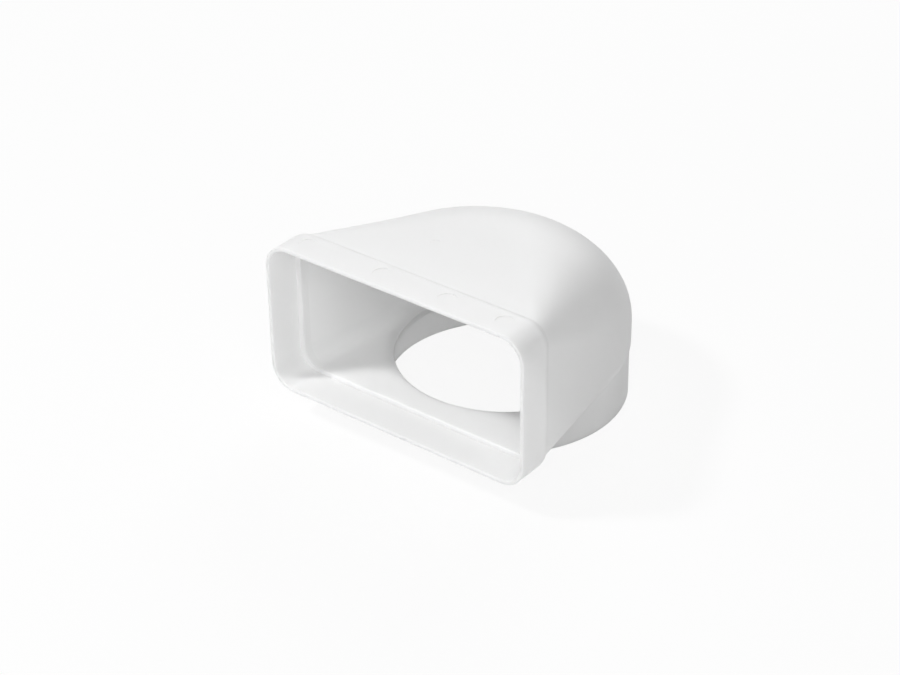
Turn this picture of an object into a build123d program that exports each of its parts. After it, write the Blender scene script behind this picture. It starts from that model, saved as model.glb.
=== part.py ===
from build123d import *
import os
from math import acos, atan2, degrees, radians, sin

# Ventilation duct elbow, flat channel to round pipe, moulded in one piece.
# Z is the axis of the round outlet, and Z = 0 is the outlet's lower rim.
# The rectangular mouth faces -Y. All sizes are in millimetres.

# Rectangular socket for a flat channel of 120 by 60
socket_width = 120.6
socket_height = 61.6
socket_depth = 15.2
socket_wall = 1.6
socket_corner_radius = 9.0
mouth_to_axis = 71.4

# Collar around the socket, and the shoulder that slopes down to the body
collar_length = 14.3
shoulder_length = 2.9
shoulder_drop = 1.5

# How far the shoulder runs on into the body, and the body forward into the shoulder
shoulder_overrun = 1.2
hood_lap = 0.6

# Body between the socket and the outlet
body_wall = 2.0
stop_length = 4.0

# Hood: the flat top's rounded tip, and the plain wall left below the roll at the back
flat_tip_radius = 25.0
flat_tip_to_axis = 10.0
rear_wall_height = 2.2

# Round outlet for a pipe of 100
outlet_radius = 50.0
outlet_wall = 1.6
outlet_drop = 13.0
outlet_stop_width = 3.4
outlet_lead_in = 0.8
back_step = 0.6

# Edge rounds
rim_round = 0.4
stop_edge_round = 0.5
collar_edge_round = 5.0

# Shallow round moulding marks on top, four on the collar and one on the flat of the body
collar_mark_radius = 3.8
collar_mark_depth = 0.2
collar_mark_x = (-47.0, -10.1, 20.8, 47.4)
collar_mark_to_mouth = 8.5
body_mark_radius = 2.0
body_mark_depth = 0.15
body_mark_x = -10.6
body_mark_y = -30.6

# Sections that the hood is drawn through, and how far the flat's sections lead the wall's
hood_sections = 40
flat_lead = 0.86

# Cuts run this far past the faces they open, and faces are looked up this closely
cut_overlap = 1.0
face_tolerance = 0.01

# Sizes that follow from the ones above
collar_width = socket_width + 2 * socket_wall
collar_height = socket_height + 2 * socket_wall
collar_corner_radius = socket_corner_radius + socket_wall
body_width = collar_width - 2 * shoulder_drop
body_height = collar_height - 2 * shoulder_drop
body_corner_radius = collar_corner_radius - shoulder_drop
body_back_radius = outlet_radius + back_step
outlet_bore_radius = outlet_radius - outlet_wall
outlet_stop_radius = outlet_bore_radius - outlet_stop_width
mouth_y = -mouth_to_axis
collar_mark_y = mouth_y + collar_mark_to_mouth
collar_end_y = mouth_y + collar_length
body_start_y = collar_end_y + shoulder_length
stop_y = mouth_y + socket_depth
stop_end_y = stop_y + stop_length
body_bottom_z = outlet_drop + shoulder_drop
body_top_z = body_bottom_z + body_height
body_roll_top_z = body_bottom_z + body_corner_radius
collar_middle_z = outlet_drop + collar_height / 2
collar_top_z = outlet_drop + collar_height


def curve_around_back(start, centre, radius):
    """Side line, back arc and other side line of a curve that starts on the right."""
    reach = start - centre
    touch = degrees(atan2(reach.Y, reach.X) + acos(radius / reach.length))
    arc = Edge.make_circle(radius, Plane(centre), touch, 180 - touch)
    right = Edge.make_line(start, arc @ 0)
    left = Edge.make_line(arc @ 1, Vector(-start.X, start.Y, start.Z))
    return Wire([right, arc, left])


def wall_path(inset, front_y):
    """Plan curve of the body's wall, moved inwards by the inset and starting at front_y."""
    axis = Vector(0, 0, 0)
    radius = body_back_radius - inset
    corner = Vector(body_width / 2 - inset, body_start_y, 0)
    heading = curve_around_back(corner, axis, radius) % 0
    start = corner + heading * ((front_y - body_start_y) / heading.Y)
    return curve_around_back(start, axis, radius)


def flat_path(start):
    """Plan curve of the flat top's edge, a round-tipped tongue."""
    tip_centre = Vector(0, -flat_tip_to_axis - flat_tip_radius, 0)
    return curve_around_back(start, tip_centre, flat_tip_radius)


def hood_section(wall_point, wall_heading, flat_point, drop, inset):
    """Open wire from the floor's edge, up the wall and over to the edge of the flat top."""
    corner_radius = body_corner_radius - inset
    lower_z = body_roll_top_z
    upper_z = body_top_z - inset - drop
    upper_reach = (wall_point - flat_point).length
    outward = (wall_point - flat_point).normalized()
    across = outward.cross(Vector(0, 0, 1))
    lower_reach = corner_radius / outward.cross(wall_heading).length
    lower_centre = wall_point - outward * lower_reach + Vector(0, 0, lower_z)
    upper_centre = flat_point + Vector(0, 0, upper_z)
    lower_plane = Plane(origin=lower_centre, x_dir=outward, z_dir=across)
    upper_plane = Plane(origin=upper_centre, x_dir=outward, z_dir=across)
    lower_roll = Edge.make_ellipse(lower_reach, corner_radius, lower_plane, 270, 360)
    upper_roll = Edge.make_ellipse(upper_reach, drop, upper_plane, 0, 90)
    wall_line = Edge.make_line(lower_roll @ 1, upper_roll @ 0)
    return Wire([lower_roll, wall_line, upper_roll])


def hood_form(inset, front_y):
    """Body form whose top roll grows from a small corner at the collar to the whole back."""
    corner_radius = body_corner_radius - inset
    rear_drop = body_top_z - inset - body_roll_top_z - rear_wall_height
    wall = wall_path(inset, front_y)
    flat = flat_path(wall @ 0 - Vector(corner_radius, 0, 0))
    sections = []
    for number in range(hood_sections + 1):
        along = number / hood_sections
        to_back = 1 - abs(1 - 2 * along)
        flat_to_back = to_back + flat_lead * to_back * (1 - to_back)
        flat_along = flat_to_back / 2 if along < 0.5 else 1 - flat_to_back / 2
        drop = corner_radius + (rear_drop - corner_radius) * sin(radians(90 * to_back))
        sections.append(hood_section(wall @ along, wall % along, flat @ flat_along, drop, inset))

    skin = Shell.make_loft(sections)
    edges_by_height = skin.edges().sort_by(Axis.Z)
    bottom_line = Edge.make_line(sections[-1] @ 0, sections[0] @ 0)
    top_line = Edge.make_line(sections[-1] @ 1, sections[0] @ 1)
    bottom = Face(Wire([edges_by_height[0], bottom_line]))
    top = Face(Wire([edges_by_height[-1], top_line]))
    front = Face(Wire([*sections[0].edges(), top_line, *sections[-1].edges(), bottom_line]))
    return Solid(Shell([*skin.faces(), bottom, top, front]))


def rectangle_at(y, width, height, radius):
    """Rounded rectangle that stands across the channel's axis."""
    plane = Plane(origin=(0, y, collar_middle_z), x_dir=(1, 0, 0), z_dir=(0, 1, 0))
    return plane * RectangleRounded(width, height, radius)


def upright_cylinder(radius, bottom_z, top_z):
    """Cylinder around the outlet's axis between two heights."""
    standing = (Align.CENTER, Align.CENTER, Align.MIN)
    return Pos(0, 0, bottom_z) * Cylinder(radius, top_z - bottom_z, align=standing)


# Outside: collar, shoulder, body and the round outlet under it
collar = extrude(rectangle_at(mouth_y, collar_width, collar_height, collar_corner_radius), collar_length)
overrun_drop = shoulder_drop * (1 + shoulder_overrun / shoulder_length)
shoulder_start = rectangle_at(collar_end_y, collar_width, collar_height, collar_corner_radius)
shoulder_end = rectangle_at(
    body_start_y + shoulder_overrun,
    collar_width - 2 * overrun_drop,
    collar_height - 2 * overrun_drop,
    collar_corner_radius - overrun_drop,
)
shoulder = loft([shoulder_start, shoulder_end], ruled=True)
socket_end = collar + shoulder
collar_edge = socket_end.edges().filter_by(lambda edge: abs(edge.center().Y - collar_end_y) < face_tolerance)
socket_end = fillet(collar_edge, collar_edge_round)
spigot = upright_cylinder(outlet_radius, 0, body_roll_top_z)
elbow = socket_end + hood_form(0, body_start_y - hood_lap) + spigot

# Inside: socket, the passage through the stop, the body's hollow and the outlet
socket_mouth = rectangle_at(mouth_y - cut_overlap, socket_width, socket_height, socket_corner_radius)
elbow -= extrude(socket_mouth, socket_depth + cut_overlap)
hollow = hood_form(body_wall, stop_end_y)
hollow_front = hollow.faces().sort_by(Axis.Y)[0]
elbow -= hollow
elbow -= extrude(hollow_front, stop_length + cut_overlap, dir=(0, -1, 0))
elbow -= upright_cylinder(outlet_bore_radius, -cut_overlap, body_bottom_z)
elbow -= upright_cylinder(outlet_stop_radius, body_bottom_z - cut_overlap, body_roll_top_z)

# Shallow round moulding marks on top
mark = upright_cylinder(collar_mark_radius, collar_top_z - collar_mark_depth, collar_top_z + cut_overlap)
for mark_x in collar_mark_x:
    elbow -= Pos(mark_x, collar_mark_y, 0) * mark
mark = upright_cylinder(body_mark_radius, body_top_z - body_mark_depth, body_top_z + cut_overlap)
elbow -= Pos(body_mark_x, body_mark_y, 0) * mark

# Rounds and lead-in at the two rims
mouth_rim = elbow.faces().sort_by(Axis.Y)[0]
elbow = fillet(mouth_rim.edges(), rim_round)
outlet_rim = elbow.faces().sort_by(Axis.Z)[0]
elbow = fillet(outlet_rim.outer_wire().edges(), rim_round)
outlet_rim = elbow.faces().sort_by(Axis.Z)[0]
elbow = chamfer(outlet_rim.inner_wires()[0].edges(), outlet_lead_in)

# Rounds at the edges of the two stops
socket_stop = elbow.faces().filter_by(lambda face: abs(face.center().Y - stop_y) < face_tolerance)[0]
elbow = fillet(socket_stop.inner_wires()[0].edges(), stop_edge_round)
hole_side = Vector(outlet_stop_radius, 0, body_bottom_z + body_wall / 2)
hole_wall = elbow.faces().sort_by_distance(hole_side)[0]
elbow = fillet(hole_wall.edges().filter_by(GeomType.LINE, reverse=True), stop_edge_round)

os.makedirs("parts", exist_ok=True)
export_step(elbow, "parts/duct_elbow.step")
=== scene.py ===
from math import cos, radians, sin

import bpy
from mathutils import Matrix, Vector

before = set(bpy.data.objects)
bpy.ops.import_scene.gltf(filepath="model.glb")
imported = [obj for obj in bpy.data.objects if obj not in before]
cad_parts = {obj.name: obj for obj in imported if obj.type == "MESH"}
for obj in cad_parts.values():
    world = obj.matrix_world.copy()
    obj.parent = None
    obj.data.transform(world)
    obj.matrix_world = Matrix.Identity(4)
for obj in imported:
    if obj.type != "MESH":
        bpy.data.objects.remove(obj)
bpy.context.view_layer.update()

# White plastic duct elbow on a pale floor, in plain soft studio light.
# Lengths are in metres, in the part's own frame: Z = 0 is the round outlet's lower rim.

# Camera, at the photograph's viewing angle
CAMERA_TARGET = Vector((-0.0034, 0.0045, 0.0395))
CAMERA_AZIMUTH = 37.04
CAMERA_ELEVATION = 30.49
CAMERA_DISTANCE = 0.8757
CAMERA_LENS = 87.23
CAMERA_SENSOR = 36.0
CAMERA_SHIFT_X = -0.0617
CAMERA_SHIFT_Y = -0.0486
CAMERA_CLIP_START = 0.01

# Floor and world: how white each is where it is seen, and what the world gives as light
FLOOR_SIZE = 6.0
FLOOR_COLOUR = (0.95, 0.95, 0.95, 1.0)
FLOOR_LIFT = 0.9
WORLD_COLOUR = (1.0, 1.0, 1.0, 1.0)
WORLD_LIGHT = 0.02
WORLD_SEEN = 1.0

# Square soft lamps: name, azimuth, elevation, distance, side and watts
LAMP_TARGET = Vector((0.0, 0.0, 0.04))
LAMPS = (
    ("key", -43.0, 50.0, 1.4, 0.16, 10.1),
    ("front_right", 40.0, 35.0, 1.4, 0.8, 7.6),
    ("front", 0.0, 18.0, 1.4, 0.8, 1.6),
    ("right_low", 85.0, 1.0, 1.4, 0.5, 3.3),
    ("back", -160.0, 30.0, 1.3, 0.8, 7.1),
)

# Plastic: two near whites, how far light spreads inside it, and its range of roughness
PLASTIC_COLOUR_A = (0.868, 0.872, 0.872, 1.0)
PLASTIC_COLOUR_B = (0.890, 0.890, 0.887, 1.0)
PLASTIC_IOR = 1.5
PLASTIC_SPECULAR = 0.5
SUBSURFACE_WEIGHT = 1.0
SUBSURFACE_RADIUS = (1.0, 1.0, 1.0)
SUBSURFACE_SCALE = 0.004
ROUGHNESS_LOW = 0.46
ROUGHNESS_HIGH = 0.58

# Noise of each effect: scale and detail, and for the bumps also distance and strength
FLOW_NOISE = (18.0, 3.0)
GLOSS_NOISE = (90.0, 4.0)
GRAIN_NOISE = (1600.0, 2.0)
GRAIN_BUMP = (0.00002, 0.35)
RIPPLE_NOISE = (45.0, 1.0)
RIPPLE_BUMP = (0.00012, 0.25)


def direction(azimuth, elevation):
    """Unit vector towards a place seen at this azimuth and elevation, azimuth 0 being -Y."""
    a = radians(azimuth)
    e = radians(elevation)
    return Vector((sin(a) * cos(e), -cos(a) * cos(e), sin(e)))


def aim(thing, place, target):
    """Put a camera or lamp at a place and turn it towards the target."""
    thing.location = place
    thing.rotation_euler = (target - place).to_track_quat("-Z", "Y").to_euler()


def add_camera():
    data = bpy.data.cameras.new("camera")
    data.lens = CAMERA_LENS
    data.sensor_width = CAMERA_SENSOR
    data.shift_x = CAMERA_SHIFT_X
    data.shift_y = CAMERA_SHIFT_Y
    data.clip_start = CAMERA_CLIP_START
    camera = bpy.data.objects.new("camera", data)
    bpy.context.collection.objects.link(camera)
    reach = direction(CAMERA_AZIMUTH, CAMERA_ELEVATION) * CAMERA_DISTANCE
    aim(camera, CAMERA_TARGET + reach, CAMERA_TARGET)
    bpy.context.scene.camera = camera


def add_softbox(name, azimuth, elevation, distance, size, watts):
    data = bpy.data.lights.new(name, "AREA")
    data.shape = "SQUARE"
    data.size = size
    data.energy = watts
    lamp = bpy.data.objects.new(name, data)
    bpy.context.collection.objects.link(lamp)
    aim(lamp, LAMP_TARGET + direction(azimuth, elevation) * distance, LAMP_TARGET)


def new_material(name):
    material = bpy.data.materials.new(name)
    material.use_nodes = True
    nodes = material.node_tree.nodes
    nodes.clear()
    output = nodes.new("ShaderNodeOutputMaterial")
    return material, nodes, material.node_tree.links, output


def noise(nodes, links, coordinates, scale, detail):
    texture = nodes.new("ShaderNodeTexNoise")
    texture.inputs["Scale"].default_value = scale
    texture.inputs["Detail"].default_value = detail
    links.new(coordinates, texture.inputs["Vector"])
    return texture.outputs["Fac"]


def bump(nodes, links, height, distance, strength):
    node = nodes.new("ShaderNodeBump")
    node.inputs["Distance"].default_value = distance
    node.inputs["Strength"].default_value = strength
    links.new(height, node.inputs["Height"])
    return node


def spread(nodes, links, value, low, high):
    """Map a 0 to 1 value to a range."""
    node = nodes.new("ShaderNodeMapRange")
    node.inputs["To Min"].default_value = low
    node.inputs["To Max"].default_value = high
    links.new(value, node.inputs["Value"])
    return node.outputs["Result"]


def white_plastic():
    """Satin moulded plastic whose thin walls pass a little light, uneven in colour and gloss."""
    material, nodes, links, output = new_material("white_plastic")
    place = nodes.new("ShaderNodeTexCoord").outputs["Object"]
    shader = nodes.new("ShaderNodeBsdfPrincipled")
    shader.inputs["Specular IOR Level"].default_value = PLASTIC_SPECULAR
    shader.inputs["IOR"].default_value = PLASTIC_IOR
    shader.inputs["Subsurface Weight"].default_value = SUBSURFACE_WEIGHT
    shader.inputs["Subsurface Radius"].default_value = SUBSURFACE_RADIUS
    shader.inputs["Subsurface Scale"].default_value = SUBSURFACE_SCALE

    colour = nodes.new("ShaderNodeMix")
    colour.data_type = "RGBA"
    colour.inputs["A"].default_value = PLASTIC_COLOUR_A
    colour.inputs["B"].default_value = PLASTIC_COLOUR_B
    links.new(noise(nodes, links, place, *FLOW_NOISE), colour.inputs["Factor"])
    links.new(colour.outputs["Result"], shader.inputs["Base Color"])

    gloss = noise(nodes, links, place, *GLOSS_NOISE)
    roughness = spread(nodes, links, gloss, ROUGHNESS_LOW, ROUGHNESS_HIGH)
    links.new(roughness, shader.inputs["Roughness"])

    grain = bump(nodes, links, noise(nodes, links, place, *GRAIN_NOISE), *GRAIN_BUMP)
    ripple = bump(nodes, links, noise(nodes, links, place, *RIPPLE_NOISE), *RIPPLE_BUMP)
    links.new(grain.outputs["Normal"], ripple.inputs["Normal"])
    links.new(ripple.outputs["Normal"], shader.inputs["Normal"])

    links.new(shader.outputs["BSDF"], output.inputs["Surface"])
    return material


def seen_directly(nodes, links):
    """1 for rays of the camera, of reflections and through glass, and 0 for the light itself."""
    path = nodes.new("ShaderNodeLightPath")
    seen = path.outputs["Is Camera Ray"]
    for kind in ("Is Glossy Ray", "Is Transmission Ray"):
        either = nodes.new("ShaderNodeMath")
        either.operation = "MAXIMUM"
        links.new(seen, either.inputs[0])
        links.new(path.outputs[kind], either.inputs[1])
        seen = either.outputs["Value"]
    return seen


def pale_floor():
    """Matt white floor that keeps the shadow, and whose white is lifted where it is seen."""
    material, nodes, links, output = new_material("floor")
    diffuse = nodes.new("ShaderNodeBsdfDiffuse")
    diffuse.inputs["Color"].default_value = FLOOR_COLOUR
    white = nodes.new("ShaderNodeEmission")
    lift = spread(nodes, links, seen_directly(nodes, links), 0.0, FLOOR_LIFT)
    both = nodes.new("ShaderNodeMixShader")
    links.new(lift, both.inputs["Fac"])
    links.new(diffuse.outputs["BSDF"], both.inputs[1])
    links.new(white.outputs["Emission"], both.inputs[2])
    links.new(both.outputs["Shader"], output.inputs["Surface"])
    return material


def add_floor():
    half = FLOOR_SIZE / 2
    mesh = bpy.data.meshes.new("floor")
    corners = [(-half, -half, 0.0), (half, -half, 0.0), (half, half, 0.0), (-half, half, 0.0)]
    mesh.from_pydata(corners, [], [(0, 1, 2, 3)])
    mesh.materials.append(pale_floor())
    floor = bpy.data.objects.new("floor", mesh)
    bpy.context.collection.objects.link(floor)


def set_world():
    """Faint even light from all round, seen as white."""
    world = bpy.data.worlds.new("studio")
    world.use_nodes = True
    bpy.context.scene.world = world
    nodes = world.node_tree.nodes
    links = world.node_tree.links
    background = nodes["Background"]
    background.inputs["Color"].default_value = WORLD_COLOUR
    strength = spread(nodes, links, seen_directly(nodes, links), WORLD_LIGHT, WORLD_SEEN)
    links.new(strength, background.inputs["Strength"])


plastic = white_plastic()
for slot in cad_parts["duct_elbow"].material_slots:
    slot.material = plastic

add_camera()
add_floor()
set_world()
for lamp_row in LAMPS:
    add_softbox(*lamp_row)

bpy.context.scene.view_settings.view_transform = "Standard"
